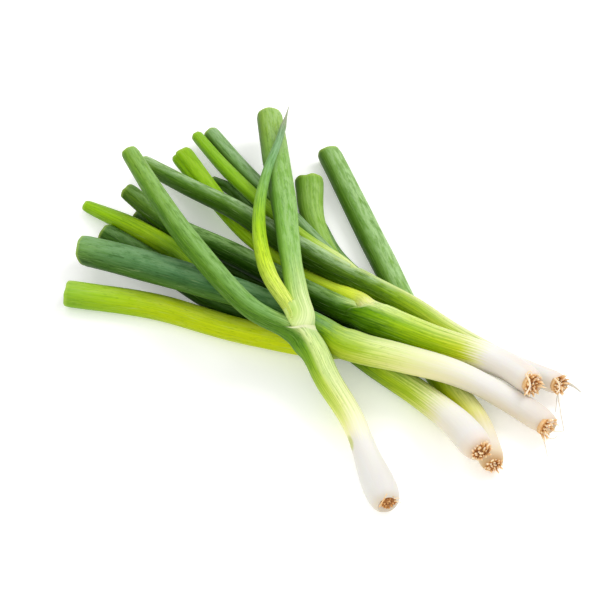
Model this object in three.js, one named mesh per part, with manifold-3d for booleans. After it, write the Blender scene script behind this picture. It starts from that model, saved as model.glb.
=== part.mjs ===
// A bunch of six trimmed spring onions, lying loosely across one another.
// Millimetres, +Z up. The bunch lies on z = 0, with its bulbs at +X and its leaf tips at -X and +Y.
// Each onion is a stem (bulb and white sheath), its hollow leaves, and its root plate with roots.

import * as THREE from 'three';
import { mergeVertices } from 'three/addons/utils/BufferGeometryUtils.js';
import Module from 'manifold-3d';

const wasm = await Module();
wasm.setup();

// Driving dimensions

const stemSides = 14;
const leafSides = 10;
const stepLength = 13;         // between two rings of a leaf or stem
const clearGap = 0.35;         // kept round a leaf where it leaves its stem or another leaf

const seatDepth = 11;          // how far a leaf reaches down into its stem
const seatRadius = 1.5;        // a leaf's thickness down there, as a radius
const seatOffset = 0.64;       // how far from the middle of the stem it stands, of what there is room for
const flareFrom = 7.7;         // from the leaf's foot to where it starts to widen
const flareTo = 17;            // and to where it has its full width

const hollowDepth = 15;        // the open end of a cut leaf
const leafWall = 1.1;

const bulbShoulder = 1.2;      // from the roots to the fullest part, in bulb radii
const bulbFoot = 0.65;         // the bulb's end round the root plate, to its fullest part
const endSlope = 0.3;          // the top of a stem between its leaves slopes in this far, in its own radii
const endWidth = 0.7;
const endRise = 0.4;

const plateRatio = 0.5;        // root plate to bulb radius
const plateDepth = 2.2;
const plateBulge = 1.2;
const rootCount = 20;
const rootSides = 4;
const rootThickness = 0.6;     // radius
const rootSunk = 2;
const rootLengths = [1.2, 3.2];
const rootLean = 0.9;          // how far the outer roots lean out
const rootLeanSpread = 0.3;

const bunchCentre = [5.98, -6.58];     // moved to the origin
const floorSize = [500, 500, 40];      // what would reach below the surface is cut off flat

// The onions, by their place in the bunch. A route is a list of points on the axis.
// A stem's route starts at the roots. A leaf's starts where it has left its stem, and its seat is the
// angle round the stem's axis, seen from the roots: 0 to the right and 90 on top.
// The radii are spread evenly along a leaf.

const onions = [
  {
    name: 'front',
    stem: {
      route: [[39.4, -126.5, 7], [32.3, -105, 7.3], [24.8, -82, 9.5], [13.7, -62.7, 14.5], [1.9, -43, 23]],
      bulb: 7.6, neck: 5.6, collar: 7, bulbLength: 36,
    },
    leaves: [
      {
        name: 'left', seat: 150, colour: 'midGreen', flat: 0.06,
        route: [[-24.5, -33, 35], [-52, 3, 37.5], [-70, 37.5, 33], [-87.7, 76, 27.5]],
        radii: [5, 5, 5.4, 5.1, 4.4],
      },
      {
        name: 'wide', seat: 20, colour: 'midGreen', flat: 0.1,
        route: [[1.5, -35.5, 31], [-1.2, -26, 34.6], [-5, 3, 34], [-8.3, 40, 29.5], [-12, 73, 23],
          [-16.5, 116, 15]],
        radii: [5.4, 4.7, 5.9, 6.6, 6.3],
      },
      {
        name: 'thin', seat: 90, colour: 'brightGreen', pointed: true,
        route: [[-4, -35, 34.5], [-14.5, -16, 37.3], [-19.5, 8, 36], [-20, 33, 34.5], [-16.5, 58, 33],
          [-10.5, 83, 31], [-5.5, 110, 29.5]],
        radii: [3.4, 4.1, 3.4, 2.3, 1],
      },
    ],
  },
  {
    name: 'long',
    stem: {
      route: [[117.5, -84.9, 9], [99.5, -69.9, 9.5], [74.5, -63.5, 21.4], [49, -55.6, 23.2], [23.5, -45.4, 20.9]],
      bulb: 6.1, neck: 5.9, collar: 7.6, bulbLength: 40,
    },
    leaves: [
      {
        name: 'low', seat: -80, colour: 'brightGreen', flat: 0.04,
        route: [[9, -38.8, 11.5], [-32, -24.6, 7], [-72.5, -9, 6], [-115.7, -1, 6.3]],
        radii: [5.6, 6, 6.5, 6.8],
      },
      {
        name: 'blue', seat: 20, colour: 'blueGreen', flat: 0.06,
        route: [[10.5, -33.2, 18.7], [-18, -21, 24.2], [-49.5, -8, 24], [-82, 8.5, 18.5], [-108.8, 23.2, 11.4]],
        radii: [5.4, 6, 7.2, 7.8, 7.6],
      },
    ],
  },
  {
    name: 'middle',
    stem: {
      route: [[111, -66.6, 17], [93, -53, 17.8], [62.2, -44.9, 24], [34.2, -30.4, 23.1]],
      bulb: 6.6, neck: 7.3, collar: 8.7, bulbLength: 36,
    },
    leaves: [
      {
        name: 'dark', seat: -135, colour: 'darkGreen', flat: 0.05,
        route: [[21.5, -20.8, 17.4], [-7, -0.9, 15.2], [-34.7, 18.4, 14.6], [-65, 37, 14.6], [-89, 60.6, 15]],
        radii: [6, 5.8, 6, 5.6, 4.5],
      },
      {
        name: 'creased', seat: 35, colour: 'brightGreen', flat: 0.1,
        route: [[26.2, -14.6, 17.6], [-1.5, 6.5, 13.8], [-25, 32.5, 10.5], [-44, 61.5, 9.5], [-62.3, 90.1, 11.5]],
        radii: [3.5, 3.1, 3.8, 4.7, 5.7],
      },
      {
        name: 'hidden', seat: -50, colour: 'darkGreen', flat: 0.05,
        route: [[20.5, -19.2, 9.8], [-9, 1.5, 4.2], [-30, 13, 4.2], [-51, 29.5, 4.2], [-84, 53, 4.2]],
        radii: [3.6, 4.4, 4.6, 4.6],
      },
    ],
  },
  {
    name: 'back',
    stem: {
      route: [[125, -59.9, 8], [101, -45.5, 6], [73.8, -35, 15.3], [53.6, -21.9, 19.8], [30, -5, 19]],
      bulb: 5.5, neck: 5.6, collar: 6.4, bulbLength: 36,
    },
    leaves: [
      {
        name: 'dark', seat: 140, colour: 'darkGreen', flat: 0.05,
        route: [[19.4, 1.6, 21.3], [-6.2, 20.9, 20.5], [-32.7, 43.6, 19], [-58.5, 64.3, 15], [-82.5, 87.5, 8]],
        radii: [6.2, 6.6, 5.2, 4.8, 4.4],
      },
      {
        name: 'narrow', seat: 55, colour: 'brightGreen', flat: 0.05,
        route: [[20, 11, 19], [1.5, 29, 17], [-19.5, 53, 14], [-39, 81, 10.5], [-55.2, 109.3, 6.5]],
        radii: [3, 3.3, 3.7, 3.6, 3.2],
      },
      {
        name: 'blue', seat: -25, colour: 'blueGreen', flat: 0.05,
        route: [[19.2, 15.4, 15.2], [-3.4, 44.6, 14.4], [-26.5, 77.5, 8.5], [-48, 113.8, 3.9]],
        radii: [2.7, 3.4, 4.2, 4.3],
      },
      {
        name: 'hidden', seat: -105, colour: 'darkGreen', flat: 0.05,
        route: [[19.5, 5, 8.8], [2, 17, 7.6], [-13, 40, 6], [-34, 70.5, 3.6], [-46, 80.5, 2.5]],
        radii: [3.4, 3.4, 3.8, 3.6, 2.4],
      },
    ],
  },
  {
    name: 'low',
    stem: {
      route: [[82.2, -106.2, 20], [71.5, -86, 15], [56.5, -65.3, 8.5], [38, -47.5, 6.2], [17, -28.5, 5.8]],
      bulb: 7.6, neck: 6.8, collar: 6.1, bulbLength: 36,
    },
    leaves: [
      {
        name: 'dark', seat: -150, colour: 'darkGreen', flat: 0.05,
        route: [[2, -20.5, 4.8], [-36.8, -8.1, 5.6], [-68.7, 15.1, 6], [-99.8, 40.6, 5]],
        radii: [4.7, 5.7, 6.2, 5.2],
      },
      {
        name: 'light', seat: 100, colour: 'brightGreen', flat: 0.05,
        route: [[5.8, -24.8, 11.3], [-20, -13.9, 14.6], [-43.2, -0.6, 14], [-63, 21, 13.1], [-84, 40, 9.5],
          [-111, 61, 3.5]],
        radii: [3.9, 4.3, 4.5, 4.6, 5.1, 4.7, 3.1],
      },
    ],
  },
  {
    name: 'under',
    stem: {
      route: [[89.1, -104.2, 6], [83.2, -82, 5.7], [72.4, -62.2, 6], [64.3, -40.9, 6], [57.5, -19.5, 5.6]],
      bulb: 6.2, neck: 6.6, collar: 6, bulbLength: 36,
    },
    leaves: [
      {
        name: 'straight', seat: 40, colour: 'midGreen', flat: 0.04,
        route: [[51.1, -6, 5.9], [39.3, 28, 5.9], [27.3, 62.5, 5.9], [15.3, 97.2, 5.7]],
        radii: [5.9, 6.4, 6.4, 6.1],
      },
      {
        name: 'flared', seat: 170, colour: 'brightGreen', flat: 0.1,
        route: [[46, -8.5, 5.6], [33.5, 4, 5.6], [17.2, 21.8, 6.6], [7, 46, 8], [4.6, 72.6, 10]],
        radii: [3, 3.2, 3.4, 5.4, 7.1],
      },
      {
        name: 'small', seat: -80, colour: 'darkGreen', flat: 0,
        route: [[47, -4, 3], [38, 6, 2.2], [20.8, 27.4, 2.2], [11, 50.5, 2.1]],
        radii: [2, 2.2, 2.3, 2.1],
      },
    ],
  },
];

// Materials

const finishes = {
  stem: { color: 0xe4e9cf, roughness: 0.42, metalness: 0 },
  roots: { color: 0xb58a57, roughness: 0.85, metalness: 0 },
  brightGreen: { color: 0x8fb93a, roughness: 0.45, metalness: 0 },
  midGreen: { color: 0x5e8f42, roughness: 0.5, metalness: 0 },
  blueGreen: { color: 0x4c7d5a, roughness: 0.55, metalness: 0 },
  darkGreen: { color: 0x365f2c, roughness: 0.5, metalness: 0 },
};

// Solids

// Joins a geometry's shared corners and makes a solid of it.
function weld(geometry) {
  geometry.deleteAttribute('normal');
  geometry.deleteAttribute('uv');
  const welded = mergeVertices(geometry, 1e-4);
  const kept = [];
  for (let i = 0; i < welded.index.count; i += 3) {
    const corners = [0, 1, 2].map((k) => welded.index.getX(i + k));
    if (new Set(corners).size === 3) kept.push(...corners);
  }
  return new wasm.Manifold(new wasm.Mesh({
    numProp: 3,
    vertProperties: new Float32Array(welded.attributes.position.array),
    triVerts: new Uint32Array(kept),
  }));
}

// A cut can leave a loose crumb, so only the largest body is kept.
function meshOf(solid, name, finish) {
  const largest = solid.decompose().reduce((best, body) => (body.volume() > best.volume() ? body : best));
  const { vertProperties, triVerts } = largest.getMesh();
  const geometry = new THREE.BufferGeometry();
  geometry.setAttribute('position', new THREE.BufferAttribute(vertProperties, 3));
  geometry.setIndex(new THREE.BufferAttribute(triVerts, 1));
  geometry.computeVertexNormals();
  const mesh = new THREE.Mesh(geometry, new THREE.MeshStandardMaterial(finishes[finish]));
  mesh.name = name;
  return mesh;
}

function curveThrough(points) {
  return new THREE.CatmullRomCurve3(points, false, 'catmullrom', 0.5);
}

// The directions across a curve at a point: side is level, and up stands on it.
function acrossAt(curve, u) {
  const along = curve.getTangentAt(u);
  const side = new THREE.Vector3().crossVectors(along, new THREE.Vector3(0, 0, 1)).normalize();
  const up = new THREE.Vector3().crossVectors(side, along);
  return { along, side, up };
}

// Turns a profile of (radius, distance) points into a solid of revolution and bends it along a curve.
// A flat of 0.1 makes it 10% wider than round and 10% lower.
function bentTube(curve, profile, sides, flat = 0) {
  const length = curve.getLength();
  const geometry = new THREE.LatheGeometry(profile, sides);
  const position = geometry.attributes.position;
  for (let i = 0; i < position.count; i += 1) {
    const u = THREE.MathUtils.clamp(position.getY(i) / length, 0, 1);
    const { along, side, up } = acrossAt(curve, u);
    const beyond = position.getY(i) - u * length;
    const point = curve.getPointAt(u)
      .addScaledVector(along, beyond)
      .addScaledVector(side, position.getX(i) * (1 + flat))
      .addScaledVector(up, position.getZ(i) * (1 - flat));
    position.setXYZ(i, point.x, point.y, point.z);
  }
  return weld(geometry);
}

// Reads values that are spread evenly over 0 to 1.
function spread(values, u) {
  const place = u * (values.length - 1);
  const i = Math.min(Math.floor(place), values.length - 2);
  return THREE.MathUtils.lerp(values[i], values[i + 1], place - i);
}

function profileOf(points) {
  return points.map(([radius, distance]) => new THREE.Vector2(radius, distance));
}

// Stems

function stemRadius(stem, length, s) {
  const shoulder = stem.bulb * bulbShoulder;
  if (s < shoulder) {
    const rise = Math.sqrt(1 - (1 - s / shoulder) ** 2);
    return THREE.MathUtils.lerp(stem.bulb * bulbFoot, stem.bulb, rise);
  }
  if (s < stem.bulbLength) {
    const waist = THREE.MathUtils.smoothstep(s, shoulder, stem.bulbLength);
    return THREE.MathUtils.lerp(stem.bulb, stem.neck, waist);
  }
  return THREE.MathUtils.lerp(stem.neck, stem.collar, (s - stem.bulbLength) / (length - stem.bulbLength));
}

// A stem is recessed at its foot for the root plate and closed at its top.
function stemSolid(stem, curve) {
  const length = curve.getLength();
  const shoulder = stem.bulb * bulbShoulder;
  const recess = stem.bulb * plateRatio + clearGap;
  const places = [0, 0.08, 0.3, 0.65, 1].map((part) => part * shoulder);
  for (let s = shoulder + stepLength * 0.6; s < length - stepLength / 2; s += stepLength) places.push(s);
  places.push(length);
  return bentTube(curve, profileOf([
    [0, plateDepth + clearGap],
    [recess, plateDepth + clearGap],
    [recess, 0],
    ...places.map((s) => [stemRadius(stem, length, s), s]),
    [stem.collar * endWidth, length + stem.collar * endSlope],
    [0, length + stem.collar * endRise],
  ]), stemSides);
}

// Leaves

function leafCurve(leaf, stem, stemCurve) {
  const length = stemCurve.getLength();
  const angle = THREE.MathUtils.degToRad(leaf.seat);
  const offset = (stem.collar - seatRadius) * seatOffset;
  const seats = [length - seatDepth, length].map((s) => {
    const u = s / length;
    const { side, up } = acrossAt(stemCurve, u);
    return stemCurve.getPointAt(u)
      .addScaledVector(side, offset * Math.cos(angle))
      .addScaledVector(up, offset * Math.sin(angle));
  });
  return curveThrough([...seats, ...leaf.route.map((point) => new THREE.Vector3(...point))]);
}

// A leaf, or with grown above zero the room it takes, solid right through.
function leafSolid(leaf, curve, grown) {
  const length = curve.getLength();
  const radiusAt = (s) => {
    const flare = THREE.MathUtils.smoothstep(s, flareFrom, flareTo);
    return THREE.MathUtils.lerp(seatRadius, spread(leaf.radii, s / length), flare) + grown;
  };
  const places = [flareFrom, seatDepth, (seatDepth + flareTo) / 2];
  const steps = Math.round((length - flareTo) / stepLength);
  for (let i = 0; i < steps; i += 1) places.push(flareTo + (i * (length - flareTo)) / steps);
  const side = [[0, -grown], [radiusAt(0), -grown], ...places.map((s) => [radiusAt(s), s])];
  if (leaf.pointed) return bentTube(curve, profileOf([...side, [0, length]]), leafSides, leaf.flat);
  side.push([radiusAt(length), length]);
  if (grown) return bentTube(curve, profileOf([...side, [0, length]]), leafSides, leaf.flat);
  const bore = radiusAt(length) - leafWall;
  const hollow = [[bore, length], [bore, length - hollowDepth], [0, length - hollowDepth - bore / 2]];
  return bentTube(curve, profileOf([...side, ...hollow]), leafSides, leaf.flat);
}

// Roots

function randomFrom(seed) {
  let state = seed;
  return () => {
    state = (state * 16807) % 2147483647;
    return state / 2147483647;
  };
}

// A domed plate in the bulb's end, with short trimmed roots that spread from it.
function rootsSolid(stem, curve, seed) {
  const random = randomFrom(seed);
  const radius = stem.bulb * plateRatio;
  let solid = bentTube(curve, profileOf([
    [0, -plateBulge],
    [radius * 0.7, -plateBulge * 0.8],
    [radius, -plateBulge * 0.1],
    [radius, plateDepth],
    [0, plateDepth],
  ]), stemSides);
  const { along, side, up } = acrossAt(curve, 0);
  const end = curve.getPointAt(0);
  const goldenAngle = Math.PI * (3 - Math.sqrt(5));
  for (let i = 0; i < rootCount; i += 1) {
    const reach = Math.sqrt((i + 0.5) / rootCount);
    const angle = i * goldenAngle + random() * 0.5;
    const outward = side.clone().multiplyScalar(Math.cos(angle)).addScaledVector(up, Math.sin(angle));
    const away = along.clone().multiplyScalar(-1)
      .addScaledVector(outward, reach * rootLean + (random() - 0.5) * rootLeanSpread)
      .normalize();
    const length = THREE.MathUtils.lerp(...rootLengths, random()) + rootSunk;
    const foot = end.clone()
      .addScaledVector(outward, reach * (radius - rootThickness * 1.6))
      .addScaledVector(away, length / 2 - rootSunk);
    const root = new THREE.ConeGeometry(rootThickness, length, rootSides, 1);
    root.applyQuaternion(new THREE.Quaternion().setFromUnitVectors(new THREE.Vector3(0, 1, 0), away));
    root.translate(foot.x, foot.y, foot.z);
    solid = solid.add(weld(root));
  }
  return solid;
}

// The bunch

const floor = weld(new THREE.BoxGeometry(...floorSize).translate(0, 0, -floorSize[2] / 2));
const bunch = new THREE.Group();
bunch.name = 'spring_onion_bunch';
bunch.position.set(-bunchCentre[0], -bunchCentre[1], 0);

onions.forEach((onion, place) => {
  const stemCurve = curveThrough(onion.stem.route.map((point) => new THREE.Vector3(...point)));
  const curves = onion.leaves.map((leaf) => leafCurve(leaf, onion.stem, stemCurve));
  const grown = onion.leaves.map((leaf, i) => leafSolid(leaf, curves[i], clearGap));

  let stem = stemSolid(onion.stem, stemCurve);
  for (const solid of grown) stem = stem.subtract(solid);
  bunch.add(meshOf(stem.subtract(floor), `${onion.name}_stem`, 'stem'));

  onion.leaves.forEach((leaf, i) => {
    let solid = leafSolid(leaf, curves[i], 0);
    for (const inner of grown.slice(i + 1)) solid = solid.subtract(inner);
    bunch.add(meshOf(solid.subtract(floor), `${onion.name}_leaf_${leaf.name}`, leaf.colour));
  });

  const roots = rootsSolid(onion.stem, stemCurve, 11 + place);
  bunch.add(meshOf(roots.subtract(floor), `${onion.name}_roots`, 'roots'));
});

export default bunch;
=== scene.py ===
import math
import random

import bpy
import numpy as np
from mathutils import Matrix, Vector


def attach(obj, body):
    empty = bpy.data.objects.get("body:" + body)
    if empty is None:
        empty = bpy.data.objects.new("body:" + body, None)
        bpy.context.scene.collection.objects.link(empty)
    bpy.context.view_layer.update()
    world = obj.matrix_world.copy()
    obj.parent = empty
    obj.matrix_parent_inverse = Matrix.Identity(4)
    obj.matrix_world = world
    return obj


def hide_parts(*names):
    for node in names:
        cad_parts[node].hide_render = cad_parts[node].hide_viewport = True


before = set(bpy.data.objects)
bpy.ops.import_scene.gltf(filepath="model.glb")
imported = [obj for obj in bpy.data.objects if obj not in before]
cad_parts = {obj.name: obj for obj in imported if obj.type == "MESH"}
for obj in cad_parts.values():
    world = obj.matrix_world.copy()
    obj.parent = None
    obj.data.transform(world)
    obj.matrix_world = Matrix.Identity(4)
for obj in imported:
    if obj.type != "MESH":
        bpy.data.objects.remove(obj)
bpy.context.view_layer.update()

mm = 0.001
bunchCentre = np.array([5.98, -6.58, 0.0])  # the routes below are measured from here, in mm
fullTurn = 2 * math.pi
routeSteps = 40   # points on a route between two of those it is given
routeReach = 1.5  # mm each way, over which its direction is read

# colours that more than one piece uses
palette = {
    "collar": "#D9C4AC",
    "rosy": "#E6DBD0",
    "white": "#E6E3DE",
    # the grey-green of the wax bloom, which also serves as a painted sheen on the lit side
    "waxy": "#A4C88A",
}


def linear(name):
    # a colour's name or code as the linear values that a material takes
    code = palette.get(name, name).lstrip("#")
    parts = [int(code[i:i + 2], 16) / 255 for i in (0, 2, 4)]
    return [p / 12.92 if p <= 0.04045 else ((p + 0.055) / 1.055) ** 2.4 for p in parts] + [1.0]


class Route:
    # a smooth line through a few points, read by its length in mm
    def __init__(self, points):
        knots = np.array(points, float) - bunchCentre
        knots = np.vstack([2 * knots[0] - knots[1], knots, 2 * knots[-1] - knots[-2]])
        t = np.linspace(0, 1, routeSteps, endpoint=False)[:, None]
        pieces = []
        for p0, p1, p2, p3 in zip(knots, knots[1:], knots[2:], knots[3:]):
            m1, m2 = (p2 - p0) / 2, (p3 - p1) / 2
            pieces.append((2 * t**3 - 3 * t**2 + 1) * p1 + (t**3 - 2 * t**2 + t) * m1
                          + (3 * t**2 - 2 * t**3) * p2 + (t**3 - t**2) * m2)
        self.line = np.vstack(pieces + [knots[-2:-1]])
        steps = np.linalg.norm(np.diff(self.line, axis=0), axis=1)
        self.run = np.concatenate([[0], np.cumsum(steps)])
        self.length = self.run[-1]

    def at(self, s):
        s = np.asarray(s, float)
        inside = np.clip(s, 0, self.length)
        spot = np.stack([np.interp(inside, self.run, self.line[:, k]) for k in range(3)], axis=-1)
        before, beyond = unit(self.line[0] - self.line[1]), unit(self.line[-1] - self.line[-2])
        spot = spot + np.maximum(-s, 0)[..., None] * before
        return spot + np.maximum(s - self.length, 0)[..., None] * beyond

    def axes(self, s):
        s = np.asarray(s)
        along = unit(self.at(s + routeReach) - self.at(s - routeReach))
        side = unit(np.cross(along, [0, 0, 1.0]))
        return along, side, np.cross(side, along)

    def nearest(self, point):
        away = np.linalg.norm(self.line - (np.array(point, float) - bunchCentre), axis=1)
        return self.run[np.argmin(away)]


def unit(vectors):
    return vectors / np.linalg.norm(vectors, axis=-1, keepdims=True)


def ease(a, b, x):
    t = np.clip((np.asarray(x, float) - a) / (b - a), 0, 1)
    return t * t * (3 - 2 * t)


def mixed(a, b, t):
    return a + (b - a) * t


def spreadOver(values, u):
    # values set evenly along a piece, joined up
    return np.interp(np.clip(u, 0, 1) * (len(values) - 1), range(len(values)), values)


def rows(start, end, step):
    return np.linspace(start, end, max(2, int(round(abs(end - start) / step)) + 1))


def ripple(seed, theta, s, waves, reach):
    # gentle seeded unevenness that closes on itself round the tube: waves are the turns of each wave
    rng = random.Random(seed)
    total = np.zeros(np.broadcast(theta, s).shape)
    for turns in waves:
        pitch = rng.uniform(0.6, 1.4) / reach
        swing = 1.3 * np.sin(s / reach * rng.uniform(1, 2) + turns)
        total += np.cos(turns * theta + fullTurn * (s * pitch + rng.random()) + swing)
    return total / math.sqrt(len(waves))


tubeLook = {
    "around": 64,        # points round a leaf
    "roundness": 0.985,  # a round leaf of the size of one with flat sides
    "shoulder": 1.25,    # from the roots to a bulb's fullest part, in bulb radii
    "foot": 0.6,         # a bulb's end round the root plate, to its fullest part
    "footTurn": 13,      # over this length the end turns to face the way its roots do
    "tipTowards": (0, -0.64, 0.77),
    "inner": 0.9,        # an inner leaf inside its stem, to the stem's own radius
    "innerStep": 0.04,   # and how much less each further one has
    "innerFoot": 0.6,    # how thin it starts, to what it has at the fork
    "lead": 12,          # so far before the fork it widens
    "seatLead": 22,      # or so far, when it has a seat of its own
    "leadRun": 11,
    "taper": 16,         # past the fork it has its own radius after this length
    "flatRun": 20,
    "waves": ((0, (2, 3, 5), 90, 0.014), (50, (7, 11), 40, 0.004)),  # seed, turns, reach and size
    "creaseRun": 8,
    "skinStep": 0.22,    # how far a dry outer skin stands out where it ends
    "skinRagged": 1.2,
    "forkStep": 0.8,     # between two rings up to the fork, and from there on
    "leafStep": 1.0,
    "fineTo": 25,        # past the fork
    "start": -0.2,       # of an outer leaf, and how far before the fork an inner one starts
    "innerStart": 9,
}


def stemRadius(stem, length, s):
    shoulder = stem["bulb"] * stem.get("shoulder", tubeLook["shoulder"])
    rise = np.sqrt(np.clip(1 - (1 - np.clip(s / shoulder, 0, 1)) ** 2, 0, 1))
    foot = mixed(stem["bulb"] * stem.get("foot", tubeLook["foot"]), stem["bulb"], rise)
    waist = mixed(stem["bulb"], stem["neck"], ease(shoulder, stem["bulbLength"], s))
    above = np.clip((s - stem["bulbLength"]) / (length - stem["bulbLength"]), 0, 1)
    top = mixed(stem["neck"], stem["collar"], above)
    radius = np.where(s < shoulder, foot, np.where(s < stem["bulbLength"], waist, top))
    return radius * tubeLook["roundness"]


class Tube:
    # one leaf with the part of the onion below it: a route, and a radius at each place on it
    def __init__(self, onion, leaf, order):
        self.onion, self.leaf, self.order = onion, leaf, order
        self.stem = onion["stem"]
        seat = leaf.get("seat", self.stem["route"][-1:])
        self.route = Route(self.stem["route"][:-1] + seat + leaf["route"])
        self.fork = self.route.nearest(seat[-1])
        self.length = self.route.length
        self.seed = leaf["seed"]
        outward = unit(self.route.at(0.0) - self.route.at(1.5))
        self.face = unit(outward + self.stem["tip"] * np.array(tubeLook["tipTowards"]))

    def alone(self, s):
        # the leaf's own radius, without its stem
        up = np.clip((s - self.fork) / (self.length - self.fork), 0, 1)
        return spreadOver(self.leaf["radii"], up) * tubeLook["roundness"]

    def radius(self, s):
        if self.order == 0:
            below = stemRadius(self.stem, self.fork, s)
        else:
            inside = self.stem["collar"] * (tubeLook["inner"] - tubeLook["innerStep"] * self.order)
            start = self.fork - tubeLook["lead"]
            if "seat" in self.leaf:
                inside = self.leaf["radii"][0]
                start = self.fork - tubeLook["seatLead"]
            widening = ease(start, start + tubeLook["leadRun"], s)
            below = mixed(inside * tubeLook["innerFoot"], inside, widening)
        taper = self.leaf.get("taper", tubeLook["taper"])
        return mixed(below, self.alone(s), ease(self.fork - 1, self.fork + taper, s))

    def uneven(self, theta, s):
        # what makes the leaf less than a perfect pipe
        wave = sum(ripple(self.seed + more, theta, s, turns, reach) * size
                   for more, turns, reach, size in tubeLook["waves"])
        if self.order == 0 and "skinEnd" in self.stem:
            jagged = ripple(self.seed + 70, theta, 0 * theta, (1, 2, 4, 7), 10)
            end = self.stem["skinEnd"] + tubeLook["skinRagged"] * jagged
            wave = wave + tubeLook["skinStep"] / self.stem["bulb"] * (1 - ease(-0.5, 0.5, s - end))
        for crease in self.leaf.get("creases", ()):
            gap = np.angle(np.exp(1j * (theta - math.radians(crease["angle"]))))
            start, end, run = crease["start"], crease["end"], tubeLook["creaseRun"]
            span = ease(start - run, start, s) * (1 - ease(end, end + run, s))
            wave = wave - crease["depth"] * span * np.exp(-(gap / crease["width"]) ** 2)
        return wave

    def place(self, s, theta, r):
        # a point in space at s along, theta round and r out
        along, side, up = self.route.axes(s)
        turn = (1 - np.clip(s / tubeLook["footTurn"], 0, 1)) ** 2
        facing = unit(mixed(along, -self.face, np.asarray(turn)[..., None]))
        side = unit(side - (side * facing).sum(-1, keepdims=True) * facing)
        up = np.cross(side, facing)
        flat = self.leaf.get("flat", 0.0) * ease(self.fork, self.fork + tubeLook["flatRun"], s)
        return (self.route.at(s) + side * (r * (1 + flat) * np.cos(theta))[..., None]
                + up * (r * (1 - flat) * np.sin(theta))[..., None])


sheath = {
    "wall": 0.3,          # mm, over the leaves inside
    "blend": 1.8,         # how softly the sheath spans two leaves
    "reach": 34,          # it starts to widen this far before its mouth
    "spare": 14,          # but at least this far before the lowest part of the mouth
    "widenRun": 12,
    "lip": 0.0,           # how far its edge stands out
    "lipRun": (2.2, 0.3),
    "depth": 0.45,        # how far a leaf drops behind the lip on its open side
    "depthRun": (9, 17),  # and where it comes back
    "band": 3.0,          # how wide the pale edge is
    "ragged": 0.25,
    "joinRun": 9,         # over this length the closed side carries on into the leaf
    "settleRun": 26,      # and over this one the slope of the mouth dies out
    "above": 45,          # leaves are looked at this far past their fork
    "below": 16,
    "ahead": 14,          # and this far past the mouth, for the side it opens on
    "lookStep": 0.8,
    "search": (0.9, 12),  # the sheath's radius lies from so many times to so many mm past its own
    "halvings": 14,
    "pull": (1, 0.2),     # and the leaf behind its lip has from all to so much of its own
    "pulls": 13,
    "firstRings": (0.12, 0.6),  # past its edge
    "ringStep": 0.9,      # between two rings below the part that widens
    "edgeStep": 0.5,
    "fineTo": 24,
}
# the cosines, away from the middle of the open side, between which each of these comes in
sideRanges = {
    "jagged": (-0.2, 0.5),
    "hug": (-0.1, 0.5),
    "lip": (-0.1, 0.6),
    "band": (-0.05, 0.3),
    "open": (-0.15, 0.45),
    "closed": (-0.5, 0.1),
}


def distanceTo(tube, points, grow):
    # how far points lie outside a tube that is grown by that much
    s = np.arange(tube.fork - sheath["below"], tube.fork + sheath["above"], sheath["lookStep"])
    spots, radii = tube.route.at(s), tube.radius(s)
    flatPoints = points.reshape(-1, 3)
    gaps = np.empty(len(flatPoints))
    batch = 4000
    for i in range(0, len(flatPoints), batch):
        away = np.linalg.norm(flatPoints[i:i + batch, None] - spots[None], axis=2) - radii[None]
        gaps[i:i + batch] = away.min(axis=1)
    return gaps.reshape(points.shape[:-1]) - grow


def smoothMin(a, b, k):
    h = np.clip(0.5 + 0.5 * (b - a) / k, 0, 1)
    return mixed(b, a, h) - k * h * (1 - h)


def wrapped(tube, inner, s, theta, r, look):
    # pushes a ring outwards until it covers the leaves inside
    least, most = look["search"]
    low, high = r * least, r + most
    for _ in range(look["halvings"]):
        middle = (low + high) / 2
        points = tube.place(s, theta, middle)
        gap = middle - r
        for other in inner:
            gap = smoothMin(gap, distanceTo(other, points, look["wall"]), look["blend"])
        low, high = np.where(gap < 0, middle, low), np.where(gap < 0, high, middle)
    return (low + high) / 2


def tucked(tube, inner, s, theta, r, look):
    # pulls a ring inwards until it lies inside the leaf that comes out of the mouth
    shares = np.linspace(*look["pull"], look["pulls"])
    gaps = []
    for share in shares:
        points = tube.place(s, theta, r * share)
        gaps.append(np.min([distanceTo(other, points, -look["depth"]) for other in inner], axis=0))
    gaps = np.array(gaps)
    nearest = gaps.min(axis=0)
    row = np.where(nearest < 0, np.argmax(gaps < 0, axis=0), gaps.argmin(axis=0))
    before = np.maximum(row - 1, 0)
    gapBefore, gapAt = (np.take_along_axis(gaps, i[None], axis=0)[0] for i in (before, row))
    part = np.clip(gapBefore / np.maximum(gapBefore - gapAt, 1e-6), 0, 1)
    # where the leaf inside isn't in the way, nothing is pulled
    return r * mixed(1.0, mixed(shares[before], shares[row], part), 1 - ease(0.0, 0.8, nearest))


def openAngle(tube, inner):
    # the angle at which the inner leaves come out
    mouth = tube.leaf.get("mouth")
    if not mouth:
        return math.radians(tube.leaf.get("pale", 90))
    if "side" in mouth:
        return math.radians(mouth["side"])
    ahead = mouth["at"] + sheath["ahead"]
    gap = np.mean([other.route.at(other.fork + ahead) for other in inner], axis=0)
    gap = gap - tube.route.at(tube.fork + ahead)
    _, side, up = tube.route.axes(tube.fork + mouth["at"])
    return math.atan2(gap @ up, gap @ side)


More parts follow.
